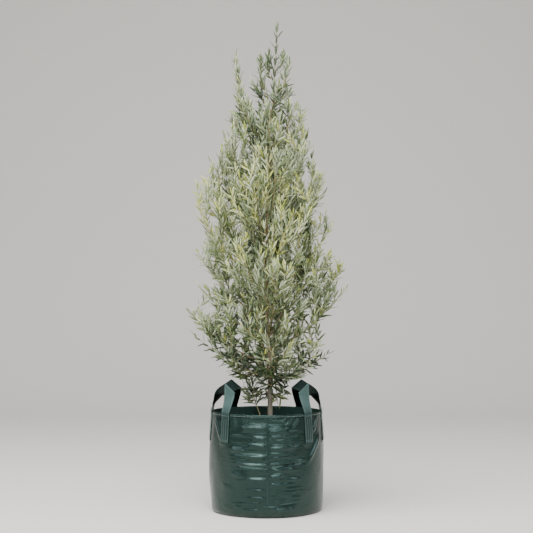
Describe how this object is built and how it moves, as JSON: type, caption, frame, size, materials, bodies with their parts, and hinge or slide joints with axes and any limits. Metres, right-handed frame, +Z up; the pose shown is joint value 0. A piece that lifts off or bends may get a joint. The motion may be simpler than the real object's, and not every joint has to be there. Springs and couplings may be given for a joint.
{
  "type": "potted olive tree",
  "caption": "Young olive tree with a slim trunk and a tall open crown of narrow leaves, standing in a round woven planter bag with webbing handles.",
  "frame": {"origin": "middle of the planter bag's flat underside", "axes": "+Z up along the trunk, -Y towards the front that the picture shows, +X to the right seen from there"},
  "size_m": [0.7013, 0.6505, 2.1499],
  "materials": {
    "bag_skin": "coated woven tape fabric, dark green, half gloss, creased",
    "webbing": "flat woven webbing, grey-green, dull sheen",
    "soil": "damp crumbly growing mix",
    "bark": "smooth young bark, grey at the foot and tan above",
    "leaf": "leathery, green above and silvery below"
  },
  "bodies": {
    "root": {"planter_bag": "bag_skin", "root_ball": "soil", "handle_front_right": "webbing", "handle_back_right": "webbing", "handle_front_left": "webbing", "handle_back_left": "webbing", "trunk": "bark", "bough_upright": "bark", "bough_2a": "bark", "bough_2c": "bark", "bough_3a": "bark", "bough_3c": "bark", "bough_4a": "bark", "bough_4c": "bark", "foliage_1a": "leaf", "foliage_1b": "leaf", "foliage_1c": "leaf", "foliage_1d": "leaf", "foliage_2a": "leaf", "foliage_2b": "leaf", "foliage_2c": "leaf", "foliage_2d": "leaf", "foliage_3a": "leaf", "foliage_3b": "leaf", "foliage_3c": "leaf", "foliage_3d": "leaf", "foliage_4a": "leaf", "foliage_4b": "leaf", "foliage_4c": "leaf", "foliage_4d": "leaf", "foliage_5a": "leaf", "foliage_5b": "leaf", "foliage_5c": "leaf", "foliage_5d": "leaf", "foliage_6a": "leaf", "foliage_6b": "leaf", "foliage_6c": "leaf", "foliage_6d": "leaf", "foliage_7a": "leaf", "foliage_7b": "leaf", "foliage_7c": "leaf", "foliage_7d": "leaf", "foliage_8a": "leaf", "foliage_8b": "leaf", "foliage_8c": "leaf", "foliage_9a": "leaf", "foliage_9b": "leaf", "foliage_9c": "leaf", "foliage_10a": "leaf", "foliage_10b": "leaf", "foliage_10c": "leaf", "foliage_11a": "leaf", "foliage_11b": "leaf", "foliage_11c": "leaf", "foliage_upright": "leaf", "foliage_left_leader": "leaf", "foliage_basal_left": "leaf", "foliage_basal_right": "leaf", "foliage_leader": "leaf"}
  },
  "joints": []
}
